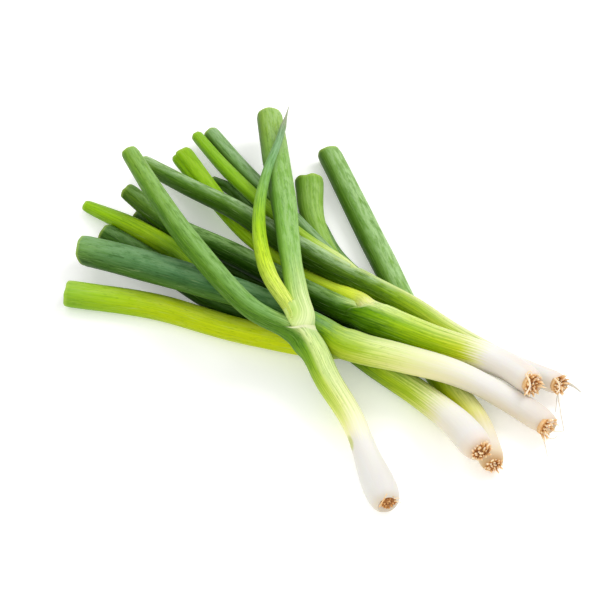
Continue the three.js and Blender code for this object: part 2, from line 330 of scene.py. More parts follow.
def skin(tube, inner, first):
    # the outside of a leaf and, on the outermost, of its stem: s and r for each point of each ring,
    # the row at the mouth's edge, and how near each point is to that edge
    theta = np.arange(tubeLook["around"]) * fullTurn / tubeLook["around"]
    mouth = tube.leaf.get("mouth")
    if not mouth or not inner:
        past = tube.fork + tubeLook["fineTo"]
        s = np.concatenate([rows(first, past, tubeLook["forkStep"])[:-1],
                            rows(past, tube.length, tubeLook["leafStep"])])
        s = np.repeat(s[:, None], len(theta), axis=1)
        return theta, s, tube.radius(s) * (1 + tube.uneven(theta, s)), None, np.zeros(s.shape)
    look = dict(sheath, **mouth)
    mouthAt = tube.fork + mouth["at"]
    facing = np.cos(theta - openAngle(tube, inner))
    side = {key: ease(*ends, facing) for key, ends in sideRanges.items()}
    jagged = look["ragged"] * ripple(tube.seed + 9, theta, 0 * theta, (3, 5, 9), 10)
    edge = mouthAt - mouth["tilt"] * (1 + facing) / 2 + jagged * side["jagged"]
    widen = mouthAt - max(look["reach"], mouth["tilt"] + look["spare"])
    below = np.concatenate([rows(first, widen, look["ringStep"])[:-1] if first < widen else [],
                            rows(max(first, widen), mouthAt, look["edgeStep"])])
    climb = np.clip((below - widen) / (mouthAt - widen), 0, 1)
    s = below[:, None] + climb[:, None] * (edge - mouthAt)[None]
    r = tube.radius(s) * (1 + tube.uneven(theta, s))
    if "hug" in look:
        # the sheath lies close to the leaf that comes out of it
        close = ease(-look["hug"], -1, s - edge) * side["hug"]
        r = mixed(r, np.minimum(r, tube.alone(s)), close)
    near = below > widen
    cover = wrapped(tube, inner, s[near], np.broadcast_to(theta, s[near].shape), r[near], look)
    r[near] = mixed(r[near], cover, ease(widen, widen + look["widenRun"], below[near])[:, None])
    lip = look["lip"] * side["lip"]
    lipFrom, lipTo = look["lipRun"]
    r = r + lip * ease(-lipFrom, -lipTo, s - edge)
    rim = ease(-look["band"], 0, s - edge) * side["band"]
    # past the edge the leaf goes on alone, and drops behind the lip on its open side
    firstAfter, nextAfter = look["firstRings"]
    after = np.concatenate([[firstAfter], rows(nextAfter, look["fineTo"], look["edgeStep"]),
                            rows(look["fineTo"] + 1, tube.length - mouthAt, tubeLook["leafStep"])])
    sAfter = mixed(edge[None], mouthAt, ease(0, look["settleRun"], after)[:, None]) + after[:, None]
    sAfter = np.minimum(sAfter, tube.length)
    rAfter = tube.radius(sAfter)
    rAfter = mixed(rAfter, np.minimum(rAfter, tube.alone(sAfter)), side["open"])
    rAfter = rAfter * (1 + tube.uneven(theta, sAfter))
    backFrom, backTo = look["depthRun"]
    close = after < backTo + 1
    grid = np.broadcast_to(theta, sAfter[close].shape)
    inside = tucked(tube, inner, sAfter[close], grid, rAfter[close], look)
    pull = side["open"] * (1 - ease(backFrom, backTo, after[close]))[:, None]
    rAfter[close] = mixed(rAfter[close], inside, pull)
    joined = (1 - ease(0, look["joinRun"], after))[:, None] * (1 - side["closed"])
    rAfter = mixed(rAfter, np.maximum(rAfter, r[-1][None] - lip), joined)
    rim = np.vstack([rim, np.zeros(sAfter.shape)])
    return theta, np.vstack([s, sAfter]), np.vstack([r, rAfter]), len(s), rim


def onFloor(points):
    # nothing goes under the floor, and what would is pressed flat
    points[..., 2] = 0.5 * (points[..., 2] + np.sqrt(points[..., 2] ** 2 + 0.09))
    return points


channels = ("grow", "facing", "edge", "cut", "mark")  # kept on each point beside its tubeMap


class Pieces:
    # collects the rings of one piece, then makes its mesh
    def __init__(self):
        self.points, self.faces, self.data = [], [], []
        self.sharp = set()
        self.count = 0

    def rings(self, points, data, sharpRows=()):
        # points: rings x around x 3, closed at both ends
        n, m = points.shape[:2]
        middle = [n * m, n * m + 1]
        faces = [(i * m + j, (i + 1) * m + j, (i + 1) * m + (j + 1) % m, i * m + (j + 1) % m)
                 for i in range(n - 1) for j in range(m)]
        faces += [(middle[0], j, (j + 1) % m) for j in range(m)]
        last = (n - 1) * m
        faces += [(middle[1], last + (j + 1) % m, last + j) for j in range(m)]
        for kept, new in ((self.points, points), (self.data, data)):
            flatRows = new.reshape(-1, new.shape[-1])
            kept.append(np.vstack([flatRows, new[0].mean(axis=0), new[-1].mean(axis=0)]))
        self.faces += [tuple(i + self.count for i in face) for face in faces]
        for row in sharpRows:
            start = self.count + row * m
            self.sharp |= {frozenset((start + j, start + (j + 1) % m)) for j in range(m)}
        self.count += n * m + 2

    def make(self, name, node, material):
        mesh = bpy.data.meshes.new(name)
        points = onFloor(np.vstack(self.points)) * mm
        mesh.from_pydata([tuple(p) for p in points], [], self.faces)
        mesh.update()
        data = np.vstack(self.data)
        # where a point is on its tube: its direction round, and how far along, in cm
        tubeMap = mesh.attributes.new("tubeMap", "FLOAT_VECTOR", "POINT")
        tubeMap.data.foreach_set("vector", np.ascontiguousarray(data[:, :3], np.float32).ravel())
        for column, label in enumerate(channels, start=3):
            layer = mesh.attributes.new(label, "FLOAT", "POINT")
            layer.data.foreach_set("value", np.ascontiguousarray(data[:, column], np.float32))
        mesh.polygons.foreach_set("use_smooth", [True] * len(mesh.polygons))
        mesh.edges.foreach_set("use_edge_sharp", [frozenset(e.vertices) in self.sharp for e in mesh.edges])
        mesh.materials.append(material)
        piece = bpy.data.objects.new(name, mesh)
        bpy.context.scene.collection.objects.link(piece)
        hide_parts(node)
        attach(piece, "root")


def ringData(theta, s, **values):
    data = np.zeros(s.shape + (3 + len(channels),))
    data[..., 0], data[..., 1], data[..., 2] = np.cos(theta), np.sin(theta), s / 10
    values.setdefault("grow", s / 100)
    for column, label in enumerate(channels, start=3):
        data[..., column] = values.get(label, 0.0)
    return data


class Nodes:
    # a material that is built up node by node
    def __init__(self, name):
        self.material = bpy.data.materials.new(name)
        self.material.use_nodes = True
        self.tree = self.material.node_tree
        self.shader = self.tree.nodes["Principled BSDF"]

    def fill(self, node, values):
        # sets inputs of a node, each to a value or to what another node gives
        for key, value in values.items():
            if isinstance(value, bpy.types.NodeSocket):
                self.tree.links.new(value, node.inputs[key])
            else:
                node.inputs[key].default_value = value

    def add(self, kind, values=None, **settings):
        node = self.tree.nodes.new("ShaderNode" + kind)
        for key, value in settings.items():
            setattr(node, key, value)
        self.fill(node, values or {})
        return node

    def read(self, name, part="Fac"):
        return self.add("Attribute", attribute_name=name).outputs[part]

    def math(self, operation, *values):
        return self.add("Math", dict(enumerate(values)), operation=operation).outputs[0]

    def times(self, *values):
        product = values[0]
        for value in values[1:]:
            product = self.math("MULTIPLY", product, value)
        return product

    def swing(self, noise, reach):
        # a noise turned into something that goes both ways
        return self.times(self.math("SUBTRACT", noise, 0.5), reach)

    def noise(self, vector, stretch, scale, detail=3.0, rough=0.55, twist=0.0):
        sized = self.add("VectorMath", {0: vector, 1: stretch}, operation="MULTIPLY").outputs[0]
        values = {"Vector": sized, "Scale": scale, "Detail": detail, "Roughness": rough}
        return self.add("TexNoise", {**values, "Distortion": twist}).outputs["Fac"]

    def between(self, value, low, high):
        values = {"Value": value, "From Min": low, "From Max": high}
        return self.add("MapRange", values, interpolation_type="SMOOTHSTEP").outputs["Result"]

    def ramp(self, value, stops):
        node = self.add("ValToRGB", {"Fac": value})
        marks = node.color_ramp.elements
        while len(marks) < len(stops):
            marks.new(0.5)
        for mark, (place, name) in zip(marks, stops):
            mark.position = place
            mark.color = linear(name)
        return node.outputs["Color"]

    def mix(self, factor, a, b, blend="MIX"):
        # this node takes its two colours at 6 and 7, and gives the mixed one at 2
        a, b = (linear(value) if isinstance(value, str) else value for value in (a, b))
        node = self.add("Mix", {0: factor, 6: a, 7: b}, data_type="RGBA", blend_type=blend)
        return node.outputs[2]

    def finish(self, colour, rough, values):
        # values: more inputs of the shader, such as bump and soft give
        self.fill(self.shader, {"Base Color": colour, "Roughness": rough, **values})
        return self.material

    def bump(self, height, strength, distance):
        node = self.add("Bump", {"Height": height, "Strength": strength, "Distance": distance})
        return {"Normal": node.outputs["Normal"]}

    def soft(self, weight, radius, scale):
        # light that goes a little way in
        return {"Subsurface Weight": weight, "Subsurface Radius": radius, "Subsurface Scale": scale}


skinLook = {
    "rampEnd": 340,     # mm from the roots, where the colour ramps end
    "stripes": 0.4,     # deeper lines between paler ones
    "stripeTint": "#A4C45C",
    "hairlines": 0.22,  # fine pale lines in the green
    "hairlineColour": "#C2D896",
    "dashes": 0.45,     # short dark dashes
    "dashTint": "#93AE78",
    "bloomAndSheen": 0.6,       # grey wax, most of it on the lit upper side, where it also serves as a painted sheen
    "bloomAndSheenColour": "waxy",
    "worn": 0.6,        # where the wax is rubbed off
    "wornTint": "#88A664",
    "waxAndLitSide": 58,      # degrees round the leaf, where most of the wax is, facing the light: light is painted on this side and shade on the other
    "under": 0.75,      # painted shade: how much deeper the colour is on the side away from the light
    "paintedShadeTint": "#93A82C",
    "fold": 0.55,       # painted shade: how much warmer and darker the white is on the side away from the light
    "foldShadeTint": "#F6EEDA",
    "paintedTopLight": 0.3,       # painted light: how much paler the lit upper side is where it isn't green yet
    "paintedTopLightColour": "#F4F3E8",
    "streaky": 0.2,     # dm, how far white and green run into each other
    "uneven": 0.22,
    "split": 0.15,      # where the open side's paler colour starts
    "lip": 0.12,
    "lipColour": "#DDE8A0",
    "rim": 0.4,
    "rimColour": "#B4CC5A",
    "insideColour": "#4C6E2C",
    "markColour": "#BDC46C",
    "clouds": 0.65,     # of the wax, how much lies in clouds, and the rest in scuffs
    "wornCloud": 0.5,
    "sideSwing": 0.5,   # how raggedly one side passes into another
    "rough": 0.4,
    "waxRough": 0.35,
    "roughSwing": 0.14,
    "subsurface": 0.12,
    "softRadius": (0.7, 1.0, 0.3),
    "softScale": 0.002,
    "specular": 0.08,
    "bump": 0.3,
    "bumpHeight": 0.0003,
    "finerRibs": 0.35,
    "cloudRibs": 0.25,
    # noises that run up the leaf: stretch, scale, detail, roughness and twist
    "fine": ((1, 1, 0.03), 8.0, 2.0, 0.6),
    "finer": ((1, 1, 0.05), 15.0, 2.0, 0.6),
    "broad": ((1, 1, 0.06), 1.7, 2.0, 0.5),
    "cloud": ((1, 1, 0.4), 2.4, 5.0, 0.62, 0.4),
    "scuff": ((1, 1, 0.16), 9.0, 4.0, 0.7),
    "dash": ((1, 1, 0.2), 13.0, 2.0, 0.6),
    # between which values each of these comes in
    "upperRange": (0.15, 1.0),
    "shadeSideRange": (0.7, -0.4),
    "stripeRange": (0.42, 0.62),
    "hairlineRange": (0.55, 0.75),
    "cloudRange": (0.38, 0.6),
    "scuffRange": (0.38, 0.58),
    "wornRange": (0.24, 0.42),
    "dashRange": (0.58, 0.72),
    "lipRange": (0.1, 0.75),
    "rimRange": (0.02, 0.5),
    "insideRange": (0.6, 1.0),
    "youngRange": (0.1, 0.3),
    "wanderRange": (0.05, 0.4),
    "openBlend": 0.22,
    # dm past the start of the green, between which the stripes and the painted shade of the lower side come
    # in
    "earlyShift": (-0.12, 0.12),
    "shadedShift": (-0.1, 0.6),
}


def skinFinish(name, tones, openTones, own):
    # tones: (mm from the roots, colour) up the leaf, and openTones the same for the side it opens on
    look = dict(skinLook, **own)
    n = Nodes(name)
    where = n.read("tubeMap", "Vector")
    grow = n.read("grow")

    fine, finer, broad, cloud, scuff, dash = (
        n.noise(where, *look[key]) for key in ("fine", "finer", "broad", "cloud", "scuff", "dash"))

    # white runs into green in streaks
    wander = n.math("ADD", n.swing(fine, look["streaky"]), n.swing(broad, look["uneven"]))
    wander = n.times(wander, n.between(grow, *look["wanderRange"]))
    place = n.times(n.math("ADD", grow, wander), 100 / look["rampEnd"])
    base = n.ramp(place, [(d / look["rampEnd"], colour) for d, colour in tones])
    if openTones:
        pale = n.ramp(place, [(d / look["rampEnd"], colour) for d, colour in openTones])
        side = n.math("ADD", n.read("facing"), n.swing(fine, look["sideSwing"]))
        split, blend = look["split"], look["openBlend"]
        base = n.mix(n.between(side, split - blend, split + blend), base, pale)
    start, full = look["greenFrom"] / 100, look["greenTo"] / 100
    waxStart, waxFull = look.get("waxFrom", look["greenFrom"]), look.get("waxTo", look["greenTo"])
    green = n.between(grow, start, full)
    waxed = n.between(grow, waxStart / 100, waxFull / 100)
    early, shaded = (n.between(grow, *(start + shift for shift in look[key]))
                     for key in ("earlyShift", "shadedShift"))

    # the side facing the light, which is painted paler and holds most of the wax, and the other side, which
    # is painted in shade
    waxAndLitSide = math.radians(look["waxAndLitSide"])
    towards = (math.cos(waxAndLitSide), math.sin(waxAndLitSide), 0)
    turned = n.add("VectorMath", {0: where, 1: towards}, operation="DOT_PRODUCT")
    around = n.math("ADD", turned.outputs["Value"], n.swing(scuff, look["sideSwing"]))
    upper = n.between(around, *look["upperRange"])
    lower = n.between(around, *look["shadeSideRange"])
    grown = n.between(grow, *look["youngRange"])
    young = n.math("SUBTRACT", grown, n.times(grown, green))

    # wax in clouds and scuffs, kept to the lit side where it also serves as a painted sheen, what is worn
    # off it, the lip of a mouth, and the cut end
    film = n.math("ADD", *(n.times(n.between(noise, *look[key]), share) for noise, key, share in (
        (cloud, "cloudRange", look["clouds"]), (scuff, "scuffRange", 1 - look["clouds"]))))
    waxAndSheen = n.times(film, waxed, upper, look["bloomAndSheen"])
    worn = n.between(n.math("SUBTRACT", scuff, n.times(cloud, look["wornCloud"])), *look["wornRange"])
    lip = n.between(n.math("ADD", n.read("edge"), n.swing(fine, look["sideSwing"])), *look["lipRange"])
    cut = n.read("cut")

    # one over the other: a tint deepens what is below it and a colour covers it
    colour = base
    for part, share in (
            # the first three layers paint light and shade: on the side away from the light the white is
            # warmer and darker and the green deeper, and on the lit side the white is paler
            ("foldShadeTint", n.times(lower, look["fold"])),
            ("paintedTopLightColour", n.times(upper, young, look["paintedTopLight"])),
            ("paintedShadeTint", n.times(lower, shaded, look["under"])),
            ("stripeTint", n.times(n.between(fine, *look["stripeRange"]), early, look["stripes"])),
            ("hairlineColour", n.times(n.between(finer, *look["hairlineRange"]), green, look["hairlines"])),
            ("bloomAndSheenColour", waxAndSheen),
            ("wornTint", n.times(worn, green, look["worn"])),
            ("dashTint", n.times(n.between(dash, *look["dashRange"]), early, look["dashes"])),
            ("lipColour", n.times(lip, look["lip"])),
            ("markColour", n.read("mark")),
            ("rimColour", n.times(n.between(cut, *look["rimRange"]), look["rim"])),
            ("insideColour", n.between(cut, *look["insideRange"]))):
        colour = n.mix(share, colour, look[part], "MULTIPLY" if part.endswith("Tint") else "MIX")

    rough = n.math("ADD", n.times(waxAndSheen, look["waxRough"]), look["rough"])
    rough = n.math("ADD", rough, n.swing(scuff, look["roughSwing"]))
    ribs = n.math("ADD", n.math("ADD", fine, n.times(finer, look["finerRibs"])),
                  n.times(cloud, look["cloudRibs"]))
    return n.finish(colour, rough, {
        "Specular IOR Level": look["specular"],
        **n.soft(look["subsurface"], look["softRadius"], look["softScale"]),
        **n.bump(ribs, look["bump"], look["bumpHeight"])})


rootColours = {
    "tones": [(0.0, "#4E2A08"), (0.12, "#8C5216"), (0.26, "#C08038"), (0.45, "#E4B478"), (0.7, "#F8DAAC"),
              (1.0, "#FFEFD8")],        # from a root's foot to its tip
    "uneven": 0.45,
    "specks": 0.3,
    "speckTint": "#D09A5E",
    "dryColour": "#CBC9BE",
    "rough": 0.75,
    "grain": (420.0, 3.0, 0.6),  # scale, detail and roughness of a noise
    "speck": (1500.0, 3.0, 0.6),
    "speckRange": (0.52, 0.72),
    "soft": (0.15, (1.0, 0.6, 0.3), 0.001),
    "bump": (0.5, 0.0003),
}


def rootFinish(name):
    look = rootColours
    n = Nodes(name)
    spots = n.add("TexCoord").outputs["Object"]
    grain, speck = (n.noise(spots, (1, 1, 1), *look[key]) for key in ("grain", "speck"))
    colour = n.ramp(n.math("ADD", n.read("grow"), n.swing(grain, look["uneven"])), look["tones"])
    specks = n.times(n.between(speck, *look["speckRange"]), look["specks"])
    colour = n.mix(specks, colour, look["speckTint"], "MULTIPLY")
    colour = n.mix(n.read("mark"), colour, look["dryColour"])
    return n.finish(colour, look["rough"], {**n.soft(*look["soft"]), **n.bump(speck, *look["bump"])})


cutEnd = {
    "wall": 0.9,
    "bulge": 0.32,             # how far the cut rounds out, in walls
    "hollow": (0.6, 26),       # from where to where the leaf is hollow
    "ragged": 0.2,
    "raggedRun": 8,            # so far back it fades out
    "band": 2.4,               # how far back from the cut the leaf is paler
    "draw": 0.05,              # how much it draws in towards the cut
    "over": 4.0,
    "bendRings": 6,
    "least": 0.2,              # mm, of the hollow's radius
    "tone": (0.5, 0.55, 1.0),  # how deep its colour is up to the cut, over it and inside
    "blunt": 0.2,              # how round a pointed leaf's tip is
}


def closeEnd(tube, theta, ragged):
    # rounds the cut over its wall and goes down inside the hollow leaf
    last, wall = tube.length, cutEnd["wall"]
    bend = np.linspace(0, math.pi, cutEnd["bendRings"] + 1)[1:]
    deep = last - np.array(cutEnd["hollow"])
    s = np.concatenate([last + wall * cutEnd["bulge"] * np.sin(bend), deep])
    inset = np.concatenate([wall * 0.5 * (1 - np.cos(bend)), np.full(len(deep), wall)])
    s = np.repeat(s[:, None], len(theta), axis=1)
    run = cutEnd["raggedRun"]
    fading = np.clip((len(bend) + run - np.arange(len(s))) / (run - 1), 0, 1)
    s += ragged * fading[:, None]
    under = np.minimum(s, last)
    r = tube.radius(under) * (1 + tube.uneven(theta, under)) * drawIn(tube, under) - inset[:, None]
    return s, np.maximum(r, cutEnd["least"]), len(bend)


def drawIn(tube, s):
    return 1 - cutEnd["draw"] * ease(tube.length - cutEnd["over"], tube.length + 0.5, s) ** 2


def markOn(leaf, theta, s):
    mark = np.zeros(s.shape)
    for patch in leaf.get("marks", ()):
        gap = np.angle(np.exp(1j * (theta - math.radians(patch["angle"])))) / patch["wide"]
        away = np.sqrt(gap ** 2 + ((s - patch["at"]) / patch["long"]) ** 2)
        mark = np.maximum(mark, patch["strength"] * (1 - ease(0.6, 1.15, away)))
    return mark


def buildLeaf(tube, inner, first):
    # the points of a leaf with what the finish reads on them, and the row where its stem ends
    leaf = tube.leaf
    theta, s, r, split, rim = skin(tube, inner, first)
    facing = np.cos(theta - openAngle(tube, inner))
    if leaf.get("pointed"):
        taper = np.clip((tube.length - s) / leaf["pointed"], 0, 1)
        rounded = np.sqrt(np.clip(taper * (2 - taper), 0.0004, 1))
        r = r * mixed(taper ** 2, rounded, cutEnd["blunt"])
        grid = np.broadcast_to(theta, s.shape)
        data = ringData(grid, s, facing=facing, edge=rim, mark=markOn(leaf, grid, s))
        return tube.place(s, grid, r), data, split
    slant, towards = leaf.get("slant", (0, 0))
    ragged = ripple(tube.seed + 5, theta, 0 * theta, (1, 2, 4, 7), 10)
    ragged = leaf.get("ragged", cutEnd["ragged"]) * ragged + slant * np.cos(theta - math.radians(towards))
    before, over, inside = cutEnd["tone"]
    cut = ease(tube.length - cutEnd["band"], tube.length, s) * before
    r = r * drawIn(tube, s)
    s = s + ragged[None] * ease(tube.length - cutEnd["raggedRun"], tube.length, s)
    addS, addR, bend = closeEnd(tube, theta, ragged)
    addCut = np.where(np.arange(len(addS)) < bend - 1, over, inside)
    cut = np.vstack([cut, np.repeat(addCut[:, None], len(theta), axis=1)])
    s, r = np.vstack([s, addS]), np.vstack([r, addR])
    grid = np.broadcast_to(theta, s.shape)
    edge = np.vstack([rim, np.zeros(addS.shape)])
    data = ringData(grid, s, facing=facing, edge=edge, cut=cut, mark=markOn(leaf, grid, s))
    return tube.place(s, grid, r), data, split


# how a stem's mouth ends: its edge folds in, goes down inside, and the foot closes
stemEnd = {"fold": 0.94, "inside": 0.9, "down": 0.8, "downRows": 8, "heel": 0.5, "heelRows": 4}


def buildOnion(onion):
    name = onion["name"]
    tubes = [Tube(onion, leaf, order) for order, leaf in enumerate(onion["leaves"])]
    for i, tube in enumerate(tubes):
        leaf, inner = tube.leaf, tubes[i + 1:]
        title = f"{name}{leaf['name'].capitalize()}Leaf"
        tones = [tone for tone in onion["tones"] if tone[0] < leaf["tones"][0][0]] + leaf["tones"]
        openTones = leaf.get("openTones") and onion["tones"][:2] + leaf["openTones"]
        finish = skinFinish(title, tones, openTones, dict(onion["look"], **leaf.get("look", {})))
        first = tubeLook["start"] if i == 0 else tube.fork - tubeLook["innerStart"]
        points, data, split = buildLeaf(tube, inner, first)
        if i == 0:
            # the stem goes as far as the mouth, and its edge folds back inside
            split = split or int(np.argmax(data[:, 0, 2] * 10 > tube.fork))
            rim, lower = points[split - 1], points[split - 1 - stemEnd["downRows"]]
            centre = tube.route.at(data[split - 1, :, 2] * 10)
            fold = centre + (rim - centre) * stemEnd["fold"]
            down = centre + (rim - centre) * stemEnd["inside"] + (lower - rim) * stemEnd["down"]
            heel = points[0] + (points[0].mean(axis=0) - points[0]) * stemEnd["heel"]
            heel = heel + (points[stemEnd["heelRows"]] - points[0]).mean(axis=0) * stemEnd["heel"]
            stemPoints = np.vstack([heel[None], points[:split], fold[None], down[None]])
            stemData = np.vstack([data[:1], data[:split], data[split - 1:split], data[split - 1:split]])
            stem = Pieces()
            stem.rings(stemPoints, stemData, sharpRows=(1, split))
            stem.make(name + "Stem", name + "_stem", finish)
            points, data = points[split:], data[split:]
        blade = Pieces()
        blade.rings(points, data)
        blade.make(title, f"{name}_leaf_{leaf['name']}", finish)
    buildRoots(onion, tubes[0])
    print(f"{name} onion: stem, {len(tubes)} leaves and roots")


rootLook = {
    "plate": 0.6,  # the root plate, to the bulb's fullest part
    # rings of the plate: how far out, how high in mm, and their tone
    "plateShape": ((0.16, 0.75, 0.1), (0.4, 0.72, 0.12), (0.66, 0.6, 0.14), (0.86, 0.4, 0.22),
                   (0.97, 0.15, 0.38), (1.0, -0.4, 0.5), (0.98, -2.0, 0.5)),
    "plateAround": 40,
    "plateRough": 0.05,
    "rings": ((16, 0.92, 0.8), (11, 0.6, 0.5), (5, 0.26, 0.3)),  # roots, how far out, their lean
    "thick": (0.38, 0.66),
    "taper": (1.25, 1.1, 1.0, 0.94, 0.84, 0.7, 0.36),
    "length": (1.0, 2.9),
    "sunk": 0.8,       # mm, in the plate
    "footLift": 0.5,   # mm, how high the middle ones start
    "footDrop": 0.45,  # and how much lower the outer ones do
    # between which values each root draws its own
    "stray": (-0.35, 0.35),
    "lean": (0.4, 1.5),
    "aside": (-0.5, 0.5),
    "inwards": (0, 0.12),
    "bendOut": (-0.3, 0.5),
    "bendAside": (-0.4, 0.4),
    "bend": 0.35,         # of its length
    "tone": (0.02, 0.9),  # from a root's foot to its tip
    "shift": (0, 0, 0),   # mm, from the end of the bulb
    "tints": (0.7, 0.4),  # the least of a root's tone, and how much more it can have
    "sides": 8,
    "hairSides": 6,
    "hairSteps": 26,
}


def rootTube(path, radii, sides, tint, tone, mark=0.0):
    # one root: a thin tube along its own path
    path = np.array(path)
    along = unit(np.gradient(path, axis=0))
    helper = [0.3, 0.2, 0.93] if abs(along[0][2]) < 0.9 else [1.0, 0, 0]
    side = unit(np.cross(along, helper))
    up = np.cross(side, along)
    theta = np.arange(sides) * fullTurn / sides
    reach = np.array(radii)[:, None, None]
    ring = path[:, None] + reach * (np.cos(theta)[None, :, None] * side[:, None]
                                    + np.sin(theta)[None, :, None] * up[:, None])
    s = np.repeat(np.linspace(0, 10, len(path))[:, None], sides, axis=1)
    least, more = rootLook["tints"]
    grow = np.repeat(np.linspace(*tone, len(path))[:, None], sides, axis=1) * (least + more * tint)
    return ring, ringData(np.broadcast_to(theta, s.shape), s + tint * 70, grow=grow, mark=mark)


def buildRoots(onion, tube):
    rng = random.Random(onion["seed"])
    own = dict(rootLook, **onion.get("roots", {}))
    count = own["plateAround"]
    theta = np.arange(count) * fullTurn / count
    centre, facing = tube.route.at(0.0), tube.face
    end = centre + np.array(own["shift"], float)
    side, up = (unit((tube.place(np.zeros(1), np.array([angle]), np.ones(1)) - centre)[0])
                for angle in (0, math.pi / 2))
    radius = onion["stem"]["bulb"] * own["plate"]
    body = Pieces()

    # the plate, a low rough dome
    out, lift, tone = (np.array(column)[:, None] for column in zip(*own["plateShape"]))
    bumps = 1 + own["plateRough"] * ripple(onion["seed"], theta[None], out * 10, (3, 5, 8, 12), 12)
    r = radius * out * bumps
    plate = end + side * (r * np.cos(theta))[..., None] + up * (r * np.sin(theta))[..., None]
    plate = plate + facing * (lift + 2.5 * (bumps - 1))[..., None]
    data = ringData(np.broadcast_to(theta, r.shape), r * 3, grow=np.repeat(tone, count, axis=1))
    body.rings(plate[::-1], data[::-1])

    sweep = np.array(own.get("sweep", (0, 0, 0)), float)
    t = np.linspace(0, 1, len(own["taper"]))[:, None]
    for count, reach, lean in own["rings"]:
        for i in range(count):
            angle = (i + rng.uniform(*own["stray"])) * fullTurn / count
            outward = side * math.cos(angle) + up * math.sin(angle)
            sideways = np.cross(facing, outward)
            way = facing + outward * lean * rng.uniform(*own["lean"])
            way = way + sideways * rng.uniform(*own["aside"])
            way = unit(way + sweep)
            length = rng.uniform(*own["length"]) * (0.6 + 0.5 * reach)
            thick = rng.uniform(*own["thick"])
            foot = end + outward * radius * (reach - rng.uniform(*own["inwards"]))
            foot = foot + facing * (own["footLift"] - own["footDrop"] * reach ** 2)
            bend = outward * rng.uniform(*own["bendOut"]) + sideways * rng.uniform(*own["bendAside"])
            bend = bend * length * own["bend"]
            path = foot + way * ((length + own["sunk"]) * t - own["sunk"]) + bend * t * t
            radii = thick * np.array(own["taper"])
            body.rings(*rootTube(path, radii, own["sides"], rng.random(), own["tone"]))

    # single long roots, each with its own route
    for hair in onion.get("hairs", ()):
        line = Route(hair["route"])
        path = line.at(np.linspace(0, line.length, own["hairSteps"]))
        radii = hair["thick"] / 2 * np.linspace(1, hair.get("end", 0.6), own["hairSteps"])
        tone, dry = hair.get("tone", (0.7, 0.95)), hair.get("grey", 0.0)
        body.rings(*rootTube(path, radii, own["hairSides"], rng.random(), tone, dry))
    body.make(onion["name"] + "Roots", onion["name"] + "_roots", rootSkin)


